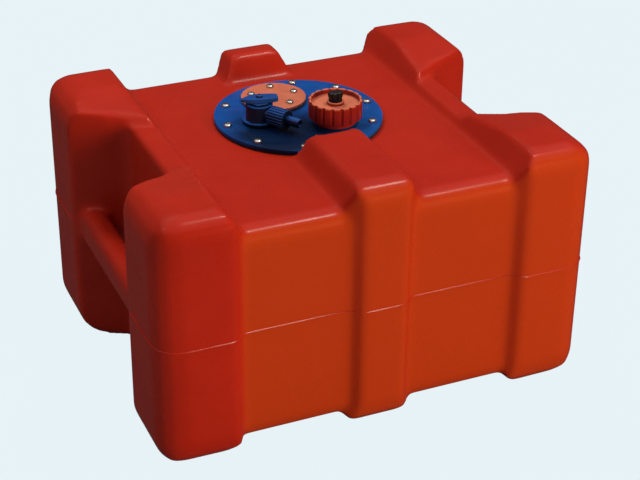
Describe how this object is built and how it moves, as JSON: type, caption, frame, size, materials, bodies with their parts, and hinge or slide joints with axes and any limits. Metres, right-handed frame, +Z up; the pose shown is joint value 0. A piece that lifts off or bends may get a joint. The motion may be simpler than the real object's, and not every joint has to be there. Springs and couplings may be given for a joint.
{
  "type": "inboard fuel tank",
  "caption": "low ribbed red plastic fuel tank with grip bars at both ends and a bolted blue service cover carrying a vented filler cap, a sender port and a fuel tap",
  "frame": {"origin": "on the floor under the centre of the tank's footprint", "axes": "X along the tank from grip to grip, Y from the front panels to the back ones, Z up; the front faces -Y"},
  "size_m": [0.5184, 0.4264, 0.3207],
  "materials": {
    "tank_red": "satin moulded",
    "cover_blue": "satin moulded",
    "tap_blue": "satin moulded",
    "lever_blue": "satin moulded",
    "cap_red": "moulded",
    "blank_salmon": "moulded",
    "knob_black": "moulded",
    "seal_rubber": "matte",
    "screw_steel": "bright",
    "insert_brass": "machined",
    "pickup_natural": "natural"
  },
  "bodies": {
    "tank": {"tank_shell": "tank_red", "cover_inserts": "insert_brass", "cover_gasket": "seal_rubber", "cover_plate": "cover_blue", "cover_screws": "screw_steel", "sender_inserts": "insert_brass", "sender_gasket": "seal_rubber", "sender_blank": "blank_salmon", "sender_screws": "screw_steel", "tap_seal": "seal_rubber", "tap_body": "tap_blue", "tap_nut": "tap_blue", "gland_nut": "tap_blue", "union_nut": "tap_blue", "hose_tail": "tap_blue", "pickup_tube": "pickup_natural", "pickup_strainer": "pickup_natural"},
    "cap_seat": {"cap_seal": "seal_rubber"},
    "cap": {"filler_cap": "cap_red"},
    "vent_seat": {"vent_seal": "seal_rubber"},
    "vent": {"vent_knob": "knob_black"},
    "tap": {"tap_plug": "insert_brass", "plug_seal": "seal_rubber", "tap_lever": "lever_blue", "lever_screw": "screw_steel"}
  },
  "joints": [
    {"name": "cap_rise", "type": "slide", "parent": "tank", "child": "cap_seat", "axis": [0, 0, 1], "range_m": [0, 0.015]},
    {"name": "cap_turn", "type": "hinge", "parent": "cap_seat", "child": "cap", "pos_m": [0.031, -0.003, 0.3], "axis": [0, 0, 1], "range_deg": [0, 900]},
    {"name": "vent_rise", "type": "slide", "parent": "cap", "child": "vent_seat", "axis": [0, 0, 1], "range_m": [0, 0.003]},
    {"name": "vent_turn", "type": "hinge", "parent": "vent_seat", "child": "vent", "pos_m": [0.031, -0.003, 0.311], "axis": [0, 0, 1], "range_deg": [0, 540]},
    {"name": "tap_turn", "type": "hinge", "parent": "tank", "child": "tap", "pos_m": [-0.05, 0.03, 0.3], "axis": [0, 0, 1], "range_deg": [0, 90]}
  ],
  "couplings": [
    {"joint": "cap_rise", "follows": "cap_turn", "m_per_rad": 0.000954},
    {"joint": "vent_rise", "follows": "vent_turn", "m_per_rad": 0.000318}
  ]
}
